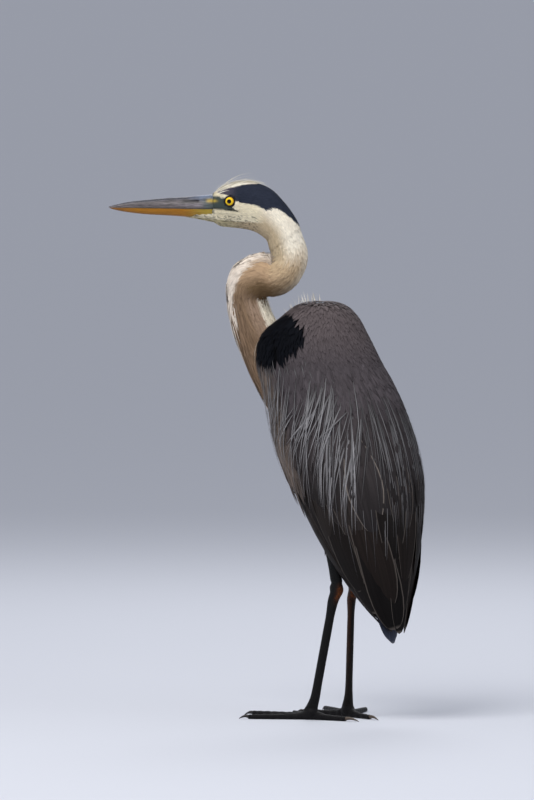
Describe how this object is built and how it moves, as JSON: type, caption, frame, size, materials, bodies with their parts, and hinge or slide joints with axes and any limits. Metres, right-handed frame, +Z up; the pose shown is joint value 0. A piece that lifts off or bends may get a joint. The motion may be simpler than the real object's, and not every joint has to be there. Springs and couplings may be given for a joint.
{
  "type": "great blue heron",
  "caption": "Life-size still model of a great blue heron standing upright with its neck in an S curve and its head turned to its left.",
  "frame": {"origin": "on the floor under the centre of the bounding box", "axes": "+Z up, the trunk faces -Y, the bird's left side is +X"},
  "size_m": [0.272, 0.4226, 0.7495],
  "materials": {
    "plumage_cream": "soft matt feathers",
    "plumage_buff": "soft matt feathers",
    "plumage_grey": "soft matt feathers",
    "plumage_slate": "smooth feathers with a faint sheen",
    "plumage_rust": "soft matt feathers",
    "leg_skin": "scaled horny skin",
    "claw": "worn horn",
    "bill_grey": "satin horn",
    "bill_yellow": "satin horn",
    "eye": "wet gloss"
  },
  "bodies": {
    "root": {"head": "plumage_cream", "neck_upper": "plumage_cream", "neck_bend": "plumage_buff", "neck_chest": "plumage_buff", "neck_base": "plumage_buff", "trunk": "plumage_grey", "wing_left": "plumage_slate", "wing_right": "plumage_slate", "tail": "plumage_slate", "eye_left": "eye", "eye_right": "eye", "bill_upper": "bill_grey", "bill_lower": "bill_yellow", "thigh_left": "plumage_rust", "shank_left": "leg_skin", "tarsus_left": "leg_skin", "foot_left": "leg_skin", "toe_middle_left": "leg_skin", "toe_inner_left": "leg_skin", "toe_outer_left": "leg_skin", "toe_hind_left": "leg_skin", "claw_middle_left": "claw", "claw_inner_left": "claw", "claw_outer_left": "claw", "claw_hind_left": "claw", "thigh_right": "plumage_rust", "shank_right": "leg_skin", "tarsus_right": "leg_skin", "foot_right": "leg_skin", "toe_middle_right": "leg_skin", "toe_inner_right": "leg_skin", "toe_outer_right": "leg_skin", "toe_hind_right": "leg_skin", "claw_middle_right": "claw", "claw_inner_right": "claw", "claw_outer_right": "claw", "claw_hind_right": "claw"}
  },
  "joints": []
}
